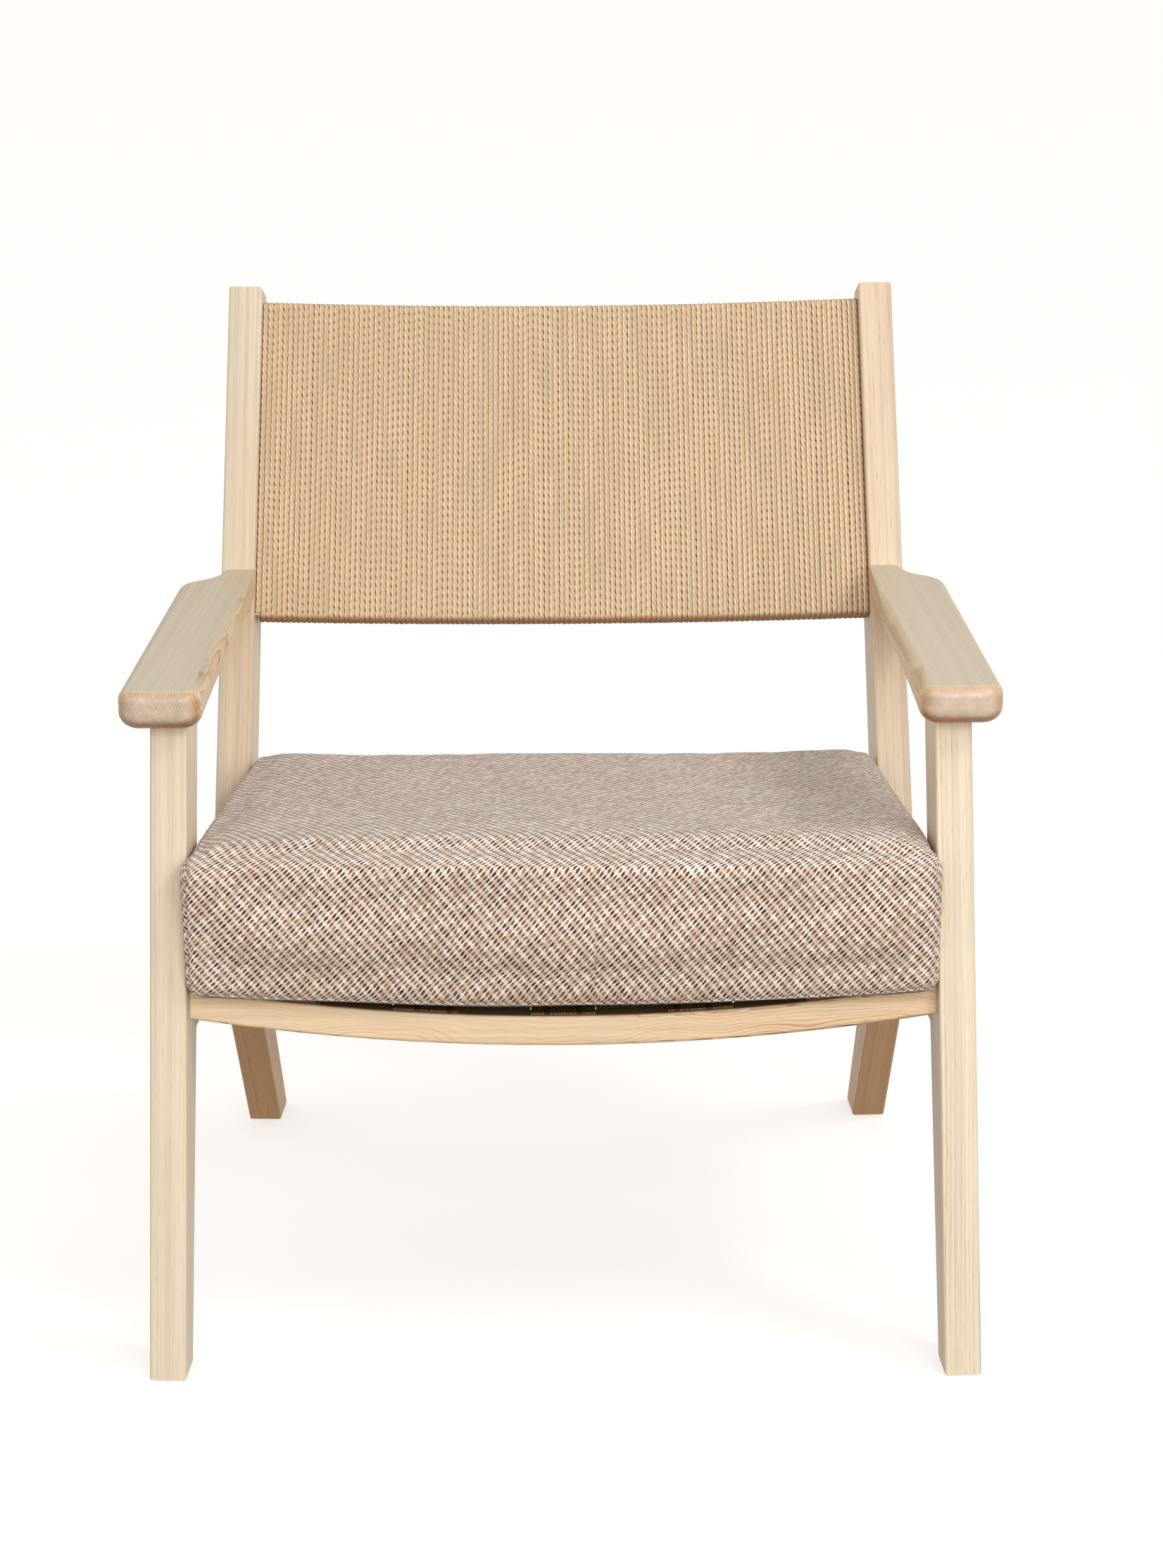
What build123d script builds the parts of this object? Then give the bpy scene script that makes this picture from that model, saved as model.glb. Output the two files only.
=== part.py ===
"""Wooden lounge armchair: ash frame, paper-cord back, loose seat cushion on webbing.

Frame of reference: +X to the sitter's left as seen from the front, +Y towards the back, +Z up.
The origin is on the floor, under the middle of the chair. All lengths are in millimetres.
"""
import os
from math import atan, cos, radians, sin

from build123d import *

os.makedirs("parts", exist_ok=True)

# ---- driving dimensions -------------------------------------------------------------------------
Y_FRONT = -327.6            # front of the front feet
HALF_WIDTH = 320.0          # middle of the chair to a front leg's outer face, at the foot
TOE_IN = 0.0561             # each side frame closes towards the back by this much per mm of depth
MEMBER = 28.4               # thickness of every leg and post, across the chair
RAIL_INSET = 2.0            # the side rails are this much thinner on each face
EDGE = 2.0                  # radius on the long edges of the legs and posts
FOOT_LIFT = 1.0             # the glides hold the wood this far off the floor

LEG_LEAN = 0.2192           # front leg: depth gained per mm of height
POST_AT_FLOOR = 294.1       # back post's front face, carried down to the floor
POST_LEAN = 0.4273
REAR_FOOT = 596.3           # rear leg's front face at the floor
REAR_LEAN = -0.8224
POST_TOP = 753.7
POST_TOP_DEPTH = 32.0

ARM_TOP = 525.5
ARM_FRONT = 79.0
ARM_UNDER_FRONT = 495.3     # underside height at the front end
ARM_UNDER_BACK = 503.5      # underside height at the post
ARM_BACK = 520.0

DECK_SLOPE = 0.075          # the seat drops this much per mm towards the back
SCOOP = 20.2                # the seat rails hang this much lower in the middle than at x = 270
SEAT_RAIL_HEIGHT = 24.0
SEAT_RAIL_DEPTH = 22.0
FRONT_RAIL_Y = 80.0
REAR_RAIL_Y = 425.0
DECK_Z = 267.0              # top of the front rail at mid width
STRAP_WIDTH = 50.0
STRAP = 1.6

CUSHION_FRONT = 52.0
CUSHION_BACK = 474.0
CUSHION_THICK = 113.5
CUSHION_UNDER = 292.5       # underside height at the front edge
CUSHION_EDGE = 15.0
COVER = 3.0                 # cover cloth and wadding around the foam
CUSHION_BELLY = 20.0        # the underside hangs this much into the scooped webbing
BELLY_HALF_WIDTH = 262.0
BELLY_ROOT = 2.0            # and starts this far inside the block, so the two join cleanly

PANEL_SETBACK = 8.0        # cord panel behind the post's front face, square to the panel
PANEL_THICK = 22.0
PANEL_HEIGHT = 277.3
PANEL_BOW = 20.0            # the back rails bow backwards by this much
CORD = 3.0
BACK_RAIL_HEIGHT = 30.0

TURN = atan(TOE_IN)
LEAN = atan(POST_LEAN)


def station(y):
    """Distance along a side frame for a depth y behind the front foot."""
    return y / cos(TURN)


def leg_front(z):
    return LEG_LEAN * z


def post_front(z):
    return POST_AT_FLOOR + POST_LEAN * z


def rear_front(z):
    return REAR_FOOT + REAR_LEAN * z


# ---- reference planes ---------------------------------------------------------------------------
side_out = Vector(cos(TURN), sin(TURN), 0)
side = Plane(origin=(HALF_WIDTH, Y_FRONT, 0), x_dir=(-sin(TURN), cos(TURN), 0), z_dir=side_out)
side_rail_plane = side.offset(-RAIL_INSET)
side_mid = side.offset(-MEMBER / 2)
side_inner = side.offset(-MEMBER)


def mirrored(plane):
    """The same plane on the other side of the chair, with its normal still pointing outwards."""
    o = plane.origin
    n = plane.z_dir
    return Plane(origin=(-o.X, o.Y, o.Z), z_dir=(-n.X, n.Y, n.Z))


# square to the posts: local x across the chair, local y backwards, local z up the back
up_back = Vector(0, sin(LEAN), cos(LEAN))
panel_foot = 488.0
back_plane = Plane(
    origin=(0, Y_FRONT + post_front(panel_foot), panel_foot),
    x_dir=(1, 0, 0),
    z_dir=up_back,
)
post_face = Plane(origin=(0, Y_FRONT + POST_AT_FLOOR, 0), x_dir=(1, 0, 0), z_dir=(0, -cos(LEAN), sin(LEAN)))

# square to the seat deck: local x across, local y up, extruding backwards along the deck
deck_tilt = atan(DECK_SLOPE)
deck_back = Vector(0, cos(deck_tilt), -sin(deck_tilt))


def deck_section(y):
    """Plane across the chair, square to the deck, at depth y; its local y is 0 at the rail tops."""
    z = DECK_Z - DECK_SLOPE * (y - FRONT_RAIL_Y)
    return Plane(origin=(0, Y_FRONT + y, z), x_dir=(-1, 0, 0), z_dir=deck_back)


knee_front = (397.4, 241.8)
knee_back = (467.0, 250.3)
mitre_dir = Vector(0, -(knee_back[1] - knee_front[1]), knee_back[0] - knee_front[0]).normalized()
mitre = Plane(origin=(0, Y_FRONT + knee_front[0], knee_front[1]), x_dir=(1, 0, 0), z_dir=mitre_dir)

arm_under_dir = Vector(0, -(ARM_UNDER_BACK - ARM_UNDER_FRONT), ARM_BACK - ARM_FRONT).normalized()
arm_under = Plane(origin=(0, Y_FRONT + ARM_FRONT, ARM_UNDER_FRONT), x_dir=(1, 0, 0), z_dir=arm_under_dir)

# the arm's inner side, planed flush with the post's inner face, so its round-over dies out there
arm_inner_face = Plane(
    origin=(HALF_WIDTH - TOE_IN * 520.0 - MEMBER, Y_FRONT + 520.0, 0),
    z_dir=Vector(1.0, 0.0134, 0).normalized(),
)


# ---- dowels: made first, because the members are drilled with them ------------------------------
def in_side(y, z):
    """Point on the middle plane of the right-hand side frame."""
    return side_mid.from_local_coords((station(y), z, 0))


along_side = side.x_dir
leg_axis = Vector(0, sin(atan(LEG_LEAN)), cos(atan(LEG_LEAN)))

with BuildPart() as arm_leg_dowel_right:
    with BuildSketch(Plane(origin=in_side(126.0, 455.0), z_dir=leg_axis)):
        Circle(6.0)
    extrude(amount=57.0)

with BuildPart() as arm_post_dowel_right:
    with BuildSketch(Plane(origin=in_side(490.0, 514.5), z_dir=along_side)):
        Circle(4.0)
    extrude(amount=50.0)

with BuildPart() as rail_leg_dowel_right:
    with BuildSketch(Plane(origin=in_side(99.0, 263.0), z_dir=along_side)):
        Circle(5.0)
    extrude(amount=42.0)

with BuildPart() as rail_post_dowel_right:
    with BuildSketch(Plane(origin=in_side(382.0, 277.0), z_dir=along_side)):
        Circle(5.0)
    extrude(amount=44.0)

with BuildPart() as knee_dowel_right:
    with BuildSketch(Plane(origin=in_side(450.0, 224.0), z_dir=(0, 0, 1))):
        Circle(5.0)
    extrude(amount=50.0)


def across(y, z):
    """Start plane of a dowel that runs outwards across the chair at depth y and height z."""
    return Plane(origin=(248.0, Y_FRONT + y, z), z_dir=(1, 0, 0))


rail_end = DECK_Z - SEAT_RAIL_HEIGHT / 2 + SCOOP

with BuildPart() as front_rail_dowel_right:
    with BuildSketch(across(FRONT_RAIL_Y + 11.0, rail_end)):
        Circle(4.0)
    extrude(amount=52.0)

with BuildPart() as rear_rail_dowel_right:
    with BuildSketch(across(REAR_RAIL_Y + 11.0, 254.5)):
        Circle(4.0)
    extrude(amount=34.0)


def panel_point(height):
    """Middle of the panel's thickness beside the post, at this height up the back."""
    return back_plane.from_local_coords((236.0, PANEL_SETBACK + PANEL_THICK / 2 + 2.2, height))


with BuildPart() as bottom_rail_dowel_right:
    with BuildSketch(Plane(origin=panel_point(CORD + BACK_RAIL_HEIGHT / 2), z_dir=(1, 0, 0))):
        Circle(4.0)
    extrude(amount=44.0)

with BuildPart() as top_rail_dowel_right:
    with BuildSketch(Plane(origin=panel_point(PANEL_HEIGHT - CORD - BACK_RAIL_HEIGHT / 2), z_dir=(1, 0, 0))):
        Circle(4.0)
    extrude(amount=38.0)

dowels_right = {
    "arm_leg_dowel": arm_leg_dowel_right,
    "arm_post_dowel": arm_post_dowel_right,
    "rail_leg_dowel": rail_leg_dowel_right,
    "rail_post_dowel": rail_post_dowel_right,
    "knee_dowel": knee_dowel_right,
    "front_rail_dowel": front_rail_dowel_right,
    "rear_rail_dowel": rear_rail_dowel_right,
    "bottom_rail_dowel": bottom_rail_dowel_right,
    "top_rail_dowel": top_rail_dowel_right,
}


# ---- glides under the feet ----------------------------------------------------------------------
def glide_plane(y):
    p = in_side(y, 0)
    return Plane(origin=(p.X, p.Y, 0), z_dir=(0, 0, 1))


with BuildPart() as front_glide_right:
    with BuildSketch(glide_plane(18.5)):
        Circle(9.0)
    extrude(amount=4.0)
    fillet(front_glide_right.faces().sort_by(Axis.Z)[0].edges(), 0.8)

with BuildPart() as rear_glide_right:
    with BuildSketch(glide_plane(612.0)):
        Circle(9.0)
    extrude(amount=4.0)
    fillet(rear_glide_right.faces().sort_by(Axis.Z)[0].edges(), 0.8)


# ---- side frame, right-hand side ----------------------------------------------------------------
def outline(points):
    return [(station(y), z) for y, z in points]


def face_edges(part, plane):
    """Edges of the two big faces of a member that lies flat in the side frame."""
    flat = part.faces().filter_by(Plane(origin=(0, 0, 0), z_dir=plane.z_dir))
    return flat.edges()


with BuildPart() as front_leg_right:
    with BuildSketch(side):
        with BuildLine():
            Polyline(
                outline([
                    (leg_front(FOOT_LIFT), FOOT_LIFT),
                    (leg_front(515.0), 515.0),
                    (174.3, 515.0),
                    (110.8, 250.0),
                    (38.3, FOOT_LIFT),
                ]),
                close=True,
            )
        leg_sketch = make_face()
        fillet(leg_sketch.vertices().group_by(Axis.Z)[0].sort_by(Axis.Y)[-1], 9.0)
        fillet(leg_sketch.vertices().group_by(Axis.Z)[0].sort_by(Axis.Y)[0], 2.0)
    extrude(amount=-MEMBER)
    fillet(face_edges(front_leg_right, side), EDGE)
    split(bisect_by=arm_under, keep=Keep.BOTTOM)
    for dowel in (arm_leg_dowel_right, rail_leg_dowel_right, front_rail_dowel_right, front_glide_right):
        add(dowel.part, mode=Mode.SUBTRACT)

post_top_back = (
    post_front(POST_TOP) + POST_TOP_DEPTH * cos(LEAN),
    POST_TOP - POST_TOP_DEPTH * sin(LEAN),
)

with BuildPart() as back_post_right:
    with BuildSketch(side):
        with BuildLine():
            Polyline(
                outline([
                    knee_back,
                    (443.3, 190.0),
                    (post_front(190.0), 190.0),
                    (post_front(POST_TOP), POST_TOP),
                    post_top_back,
                ]),
            )
            ThreePointArc(outline([post_top_back])[0], outline([(528.6, 405.0)])[0], outline([knee_back])[0])
        post_sketch = make_face()
        fillet(post_sketch.vertices().sort_by(Axis.Z)[-2:], 7.0)
    extrude(amount=-MEMBER)
    fillet(face_edges(back_post_right, side), EDGE)
    split(bisect_by=mitre, keep=Keep.TOP)
    for dowel in (arm_post_dowel_right, rail_post_dowel_right, knee_dowel_right, rear_rail_dowel_right):
        add(dowel.part, mode=Mode.SUBTRACT)
    for dowel in (bottom_rail_dowel_right, top_rail_dowel_right):
        add(dowel.part, mode=Mode.SUBTRACT)

with BuildPart() as rear_leg_right:
    with BuildSketch(side):
        with BuildLine():
            Polyline(
                outline([
                    (rear_front(FOOT_LIFT), FOOT_LIFT),
                    (rear_front(300.0), 300.0),
                    (432.5, 300.0),
                    knee_back,
                    (640.3, FOOT_LIFT),
                ]),
                close=True,
            )
        rear_sketch = make_face()
        fillet(rear_sketch.vertices().group_by(Axis.Z)[0].sort_by(Axis.Y)[-1], 11.0)
        fillet(rear_sketch.vertices().group_by(Axis.Z)[0].sort_by(Axis.Y)[0], 2.0)
    extrude(amount=-MEMBER)
    fillet(face_edges(rear_leg_right, side), EDGE)
    split(bisect_by=mitre, keep=Keep.BOTTOM)
    for dowel in (knee_dowel_right, rear_glide_right):
        add(dowel.part, mode=Mode.SUBTRACT)

# the side rail butts between the leg and the post, with a haunch swept into each leg
RAIL_UNDER = 247.0
leg_back_slope = (110.8 - 38.3) / (250.0 - FOOT_LIFT)


def leg_back(z):
    return 110.8 + leg_back_slope * (z - 250.0)


with BuildPart() as side_rail_right:
    with BuildSketch(side_rail_plane):
        with BuildLine():
            front_foot = (station(leg_back(233.0)), 233.0)
            front_run = (station(leg_back(233.0) + 17.0), RAIL_UNDER)
            rear_run = (station(376.0), RAIL_UNDER)
            rear_low = (station(rear_front(229.0)), 229.0)
            Line((station(117.7), 300.0), (station(110.8), 250.0))
            Line((station(110.8), 250.0), front_foot)
            ThreePointArc(front_foot, (front_foot[0] + 7.4, front_foot[1] + 10.4), front_run)
            Line(front_run, rear_run)
            ThreePointArc(rear_run, (station(393.0), 242.6), rear_low)
            Line(rear_low, (station(knee_front[0]), knee_front[1]))
            Line((station(knee_front[0]), knee_front[1]), (station(post_front(291.0)), 291.0))
            Line((station(post_front(291.0)), 291.0), (station(117.7), 300.0))
        make_face()
    extrude(amount=-(MEMBER - 2 * RAIL_INSET))
    for piece in (front_leg_right, back_post_right, rear_leg_right, rail_leg_dowel_right, rail_post_dowel_right):
        add(piece.part, mode=Mode.SUBTRACT)

with BuildPart() as armrest_right:
    with BuildSketch(Plane.XY.offset(ARM_TOP)):
        with BuildLine():
            inner_front = (272.0, Y_FRONT + ARM_FRONT)
            outer_front = (336.6, Y_FRONT + ARM_FRONT)
            shoulder = (322.8, Y_FRONT + 455.0)
            post_side = (HALF_WIDTH - TOE_IN * 530.0, Y_FRONT + 530.0)
            tail_out = (HALF_WIDTH - TOE_IN * 570.0, Y_FRONT + 570.0)
            tail_in = (251.8, Y_FRONT + 570.0)
            Line(inner_front, outer_front)
            Line(outer_front, shoulder)
            Spline(
                shoulder,
                (320.6, Y_FRONT + 467.5),
                (312.8, Y_FRONT + 478.5),
                (300.4, Y_FRONT + 491.0),
                (293.6, Y_FRONT + 507.0),
                post_side,
                tangents=[(-0.037, 1.0), (-0.0561, 1.0)],
            )
            Line(post_side, tail_out)
            Line(tail_out, tail_in)
            ThreePointArc(tail_in, (265.9, Y_FRONT + 300.0), inner_front)
        arm_sketch = make_face()
        fillet(arm_sketch.vertices().group_by(Axis.Y)[0], 17.0)
    extrude(amount=-50.0)
    split(bisect_by=arm_under, keep=Keep.TOP)
    fillet(armrest_right.faces().sort_by(Axis.Z)[-1].edges(), 8.5)
    fillet(armrest_right.faces().sort_by(Axis.Z)[0].edges(), 12.5)
    split(bisect_by=arm_inner_face, keep=Keep.TOP)
    split(bisect_by=post_face, keep=Keep.TOP)
    add(back_post_right.part, mode=Mode.SUBTRACT)
    for dowel in (arm_leg_dowel_right, arm_post_dowel_right):
        add(dowel.part, mode=Mode.SUBTRACT)


# ---- seat rails: scooped, between the side frames ----------------------------------------------
def scoop_point(x, offset):
    return (x, SCOOP * (x / 270.0) ** 2 + offset)


def deck_band(y, depth, top, thick):
    """Scooped band across the chair: its top is `top` above the rail tops, its thickness `thick`."""
    reach = 300.0
    with BuildPart() as band:
        with BuildSketch(deck_section(y)):
            with BuildLine():
                ThreePointArc(scoop_point(-reach, top), scoop_point(0, top), scoop_point(reach, top))
                Line(scoop_point(reach, top), scoop_point(reach, top - thick))
                ThreePointArc(
                    scoop_point(reach, top - thick),
                    scoop_point(0, top - thick),
                    scoop_point(-reach, top - thick),
                )
                Line(scoop_point(-reach, top - thick), scoop_point(-reach, top))
            make_face()
        extrude(amount=depth)
    return band.part


rail_band_front = deck_band(FRONT_RAIL_Y, SEAT_RAIL_DEPTH, 0.0, SEAT_RAIL_HEIGHT)
rail_band_rear = deck_band(REAR_RAIL_Y, SEAT_RAIL_DEPTH, 0.0, SEAT_RAIL_HEIGHT)

with BuildPart() as front_seat_rail:
    add(rail_band_front)
    fillet(front_seat_rail.edges().filter_by(GeomType.CIRCLE), 3.0)
    split(bisect_by=side_inner, keep=Keep.BOTTOM)
    split(bisect_by=mirrored(side_inner), keep=Keep.BOTTOM)
    add(front_rail_dowel_right.part, mode=Mode.SUBTRACT)
    mirror(front_rail_dowel_right.part, about=Plane.YZ, mode=Mode.SUBTRACT)

with BuildPart() as rear_seat_rail:
    add(rail_band_rear)
    fillet(rear_seat_rail.edges().filter_by(GeomType.CIRCLE), 3.0)
    split(bisect_by=side_inner, keep=Keep.BOTTOM)
    split(bisect_by=mirrored(side_inner), keep=Keep.BOTTOM)
    add(rear_rail_dowel_right.part, mode=Mode.SUBTRACT)
    mirror(rear_rail_dowel_right.part, about=Plane.YZ, mode=Mode.SUBTRACT)


# ---- webbing: long straps over the rails, cross straps under them between the side rails --------
long_run = REAR_RAIL_Y + SEAT_RAIL_DEPTH - FRONT_RAIL_Y - 6.0
strap_sheet = deck_band(FRONT_RAIL_Y + 3.0, long_run / cos(deck_tilt), STRAP, STRAP)
rail_face = side.offset(-MEMBER + RAIL_INSET)

long_straps = {}
for number, x in enumerate((-212.0, -106.0, 0.0, 106.0, 212.0), start=1):
    with BuildPart() as long_strap:
        add(strap_sheet)
        with BuildSketch(Plane.XY.offset(200.0)):
            with Locations((x, 0)):
                Rectangle(STRAP_WIDTH, 900.0)
        extrude(amount=150.0, mode=Mode.INTERSECT)
    long_straps[f"seat_strap_long_{number}"] = long_strap

cross_straps = {}
for number, y in enumerate((150.0, 235.0, 320.0), start=1):
    with BuildPart() as cross_strap:
        add(deck_band(y, STRAP_WIDTH, 0.0, STRAP))
        split(bisect_by=rail_face, keep=Keep.BOTTOM)
        split(bisect_by=mirrored(rail_face), keep=Keep.BOTTOM)
    cross_straps[f"seat_strap_cross_{number}"] = cross_strap


# ---- curved back rails and the cord wound round them --------------------------------------------
def panel_band(inset, low, high, reach):
    """Curved band of the back panel, drawn in from its faces by `inset`, between two heights."""
    near = PANEL_SETBACK + inset
    far = PANEL_SETBACK + PANEL_THICK - inset
    drop = PANEL_BOW * (1 - (reach / 262.0) ** 2)
    with BuildPart() as band:
        with BuildSketch(back_plane.offset(low)):
            with BuildLine():
                ThreePointArc((-reach, near + drop), (0, near + PANEL_BOW), (reach, near + drop))
                Line((reach, near + drop), (reach, far + drop))
                ThreePointArc((reach, far + drop), (0, far + PANEL_BOW), (-reach, far + drop))
                Line((-reach, far + drop), (-reach, near + drop))
            make_face()
        extrude(amount=high - low)
    return band.part


with BuildPart() as back_bottom_rail:
    add(panel_band(CORD, CORD, CORD + BACK_RAIL_HEIGHT, 280.0))
    split(bisect_by=side_inner, keep=Keep.BOTTOM)
    split(bisect_by=mirrored(side_inner), keep=Keep.BOTTOM)
    add(bottom_rail_dowel_right.part, mode=Mode.SUBTRACT)
    mirror(bottom_rail_dowel_right.part, about=Plane.YZ, mode=Mode.SUBTRACT)

with BuildPart() as back_top_rail:
    add(panel_band(CORD, PANEL_HEIGHT - CORD - BACK_RAIL_HEIGHT, PANEL_HEIGHT - CORD, 280.0))
    split(bisect_by=side_inner, keep=Keep.BOTTOM)
    split(bisect_by=mirrored(side_inner), keep=Keep.BOTTOM)
    add(top_rail_dowel_right.part, mode=Mode.SUBTRACT)
    mirror(top_rail_dowel_right.part, about=Plane.YZ, mode=Mode.SUBTRACT)

cord_stop = side.offset(-MEMBER - 1.0)

with BuildPart() as paper_cord_back:
    add(panel_band(0.0, 0.0, PANEL_HEIGHT, 280.0))
    fillet(paper_cord_back.edges().filter_by(GeomType.CIRCLE), 2.5)
    add(panel_band(CORD, CORD, PANEL_HEIGHT - CORD, 280.0), mode=Mode.SUBTRACT)
    split(bisect_by=cord_stop, keep=Keep.BOTTOM)
    split(bisect_by=mirrored(cord_stop), keep=Keep.BOTTOM)


# ---- loose cushion: foam block in a padded cover ------------------------------------------------
cushion_up = Vector(0, sin(deck_tilt), cos(deck_tilt))
cushion_base = Plane(
    origin=(0, Y_FRONT + CUSHION_FRONT, CUSHION_UNDER),
    x_dir=(1, 0, 0),
    z_dir=cushion_up,
)
CUSHION_GAP = 1.1
half_front = HALF_WIDTH - TOE_IN * CUSHION_FRONT - MEMBER - CUSHION_GAP
half_back = HALF_WIDTH - TOE_IN * CUSHION_BACK - MEMBER - CUSHION_GAP


def cushion_belly(inset, length):
    """Shallow vault under the block: an arc across the chair met by an arc from front to back."""
    reach = BELLY_HALF_WIDTH - 2 * inset
    start = cushion_base.from_local_coords((0, 0, inset))
    outer = cushion_base.from_local_coords((-300.0, 0, inset))
    near = (6.0 + inset, BELLY_ROOT)
    far = (length - 6.0 - inset, BELLY_ROOT)
    with BuildPart() as vault:
        with BuildSketch(Plane(origin=start, x_dir=(1, 0, 0), z_dir=deck_back)):
            with BuildLine():
                ThreePointArc((-reach, -BELLY_ROOT), (0, CUSHION_BELLY), (reach, -BELLY_ROOT))
                Line((reach, -BELLY_ROOT), (-reach, -BELLY_ROOT))
            make_face()
        extrude(amount=length)
        with BuildSketch(Plane(origin=outer, x_dir=deck_back, z_dir=(1, 0, 0))):
            with BuildLine():
                ThreePointArc(near, (length / 2, -CUSHION_BELLY), far)
                Line(far, near)
            make_face()
        extrude(amount=600.0, mode=Mode.INTERSECT)
    return vault.part


def cushion_block(inset, edge, corner):
    length = (CUSHION_BACK - CUSHION_FRONT) / cos(deck_tilt)
    with BuildPart() as block:
        with BuildSketch(cushion_base.offset(inset)) as plan:
            with BuildLine():
                Polyline(
                    (-half_front + inset, inset),
                    (half_front - inset, inset),
                    (half_back - inset, length - inset),
                    (-half_back + inset, length - inset),
                    close=True,
                )
            make_face()
            fillet(plan.vertices(), corner)
        extrude(amount=CUSHION_THICK - 2 * inset)
        fillet(block.faces().sort_by(Axis.Z)[-1].edges(), edge)
        fillet(block.faces().sort_by(Axis.Z)[0].edges(), edge)
        add(cushion_belly(inset, length))
    return block.part


with BuildPart() as cushion_foam:
    add(cushion_block(COVER, CUSHION_EDGE - COVER, 24.0 - COVER))

with BuildPart() as seat_cushion:
    add(cushion_block(0.0, CUSHION_EDGE, 24.0))
    add(cushion_foam.part, mode=Mode.SUBTRACT)

# ---- left-hand side: mirror images --------------------------------------------------------------
with BuildPart() as front_leg_left:
    mirror(front_leg_right.part, about=Plane.YZ)

with BuildPart() as back_post_left:
    mirror(back_post_right.part, about=Plane.YZ)

with BuildPart() as rear_leg_left:
    mirror(rear_leg_right.part, about=Plane.YZ)

with BuildPart() as side_rail_left:
    mirror(side_rail_right.part, about=Plane.YZ)

with BuildPart() as armrest_left:
    mirror(armrest_right.part, about=Plane.YZ)

with BuildPart() as front_glide_left:
    mirror(front_glide_right.part, about=Plane.YZ)

with BuildPart() as rear_glide_left:
    mirror(rear_glide_right.part, about=Plane.YZ)

# ---- labels and files ---------------------------------------------------------------------------
pieces = {
    "front_leg_right": front_leg_right,
    "front_leg_left": front_leg_left,
    "back_post_right": back_post_right,
    "back_post_left": back_post_left,
    "rear_leg_right": rear_leg_right,
    "rear_leg_left": rear_leg_left,
    "side_rail_right": side_rail_right,
    "side_rail_left": side_rail_left,
    "armrest_right": armrest_right,
    "armrest_left": armrest_left,
    "front_seat_rail": front_seat_rail,
    "rear_seat_rail": rear_seat_rail,
    "back_top_rail": back_top_rail,
    "back_bottom_rail": back_bottom_rail,
    "paper_cord_back": paper_cord_back,
    "seat_cushion": seat_cushion,
    "cushion_foam": cushion_foam,
    "front_glide_right": front_glide_right,
    "front_glide_left": front_glide_left,
    "rear_glide_right": rear_glide_right,
    "rear_glide_left": rear_glide_left,
}
pieces.update(long_straps)
pieces.update(cross_straps)

for name, right in dowels_right.items():
    with BuildPart() as left:
        mirror(right.part, about=Plane.YZ)
    pieces[f"{name}_right"] = right
    pieces[f"{name}_left"] = left

for name, piece in pieces.items():
    piece.part.label = name
    export_step(piece.part, f"parts/{name}.step")
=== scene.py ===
"""Wooden lounge armchair: the looks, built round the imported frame.

Metres, +X to the viewer's right, +Y towards the back, +Z up, origin on the floor under the chair.
"""

import math

import bpy
import numpy as np
from mathutils import Matrix, Vector, noise


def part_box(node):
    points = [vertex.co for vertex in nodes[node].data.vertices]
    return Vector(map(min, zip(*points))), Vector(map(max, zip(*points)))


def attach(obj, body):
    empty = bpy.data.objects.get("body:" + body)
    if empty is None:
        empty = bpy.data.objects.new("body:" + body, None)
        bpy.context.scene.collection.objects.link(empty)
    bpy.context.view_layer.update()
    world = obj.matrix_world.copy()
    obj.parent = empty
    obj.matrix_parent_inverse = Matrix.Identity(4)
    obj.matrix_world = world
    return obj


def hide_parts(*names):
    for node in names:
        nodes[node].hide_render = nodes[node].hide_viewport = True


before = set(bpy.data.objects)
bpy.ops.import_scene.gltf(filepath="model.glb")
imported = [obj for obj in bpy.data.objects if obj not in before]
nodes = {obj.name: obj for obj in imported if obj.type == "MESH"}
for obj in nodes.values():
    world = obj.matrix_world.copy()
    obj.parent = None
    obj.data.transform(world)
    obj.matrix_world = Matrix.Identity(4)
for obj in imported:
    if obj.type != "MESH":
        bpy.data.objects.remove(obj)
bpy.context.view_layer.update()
scene = bpy.context.scene

# ---- facts shared with the CAD, in metres --------------------------------------------------------
Y_FRONT = -0.3276
HALF_WIDTH = 0.320
TOE_IN = 0.0561
MEMBER = 0.0284
LEG_LEAN = 0.2192
POST_LEAN = 0.4273
REAR_LEAN = -0.8224
DECK_SLOPE = 0.075


def inner_face(y):
    """Distance from the middle of the chair to a side frame's inner face at depth y."""
    return HALF_WIDTH - TOE_IN * (y - Y_FRONT) - MEMBER


def smooth(a, b, x):
    """0 below a, 1 above b, and an even curve between."""
    t = np.clip((np.asarray(x, float) - a) / (b - a), 0.0, 1.0)
    return t * t * (3.0 - 2.0 * t)


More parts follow.
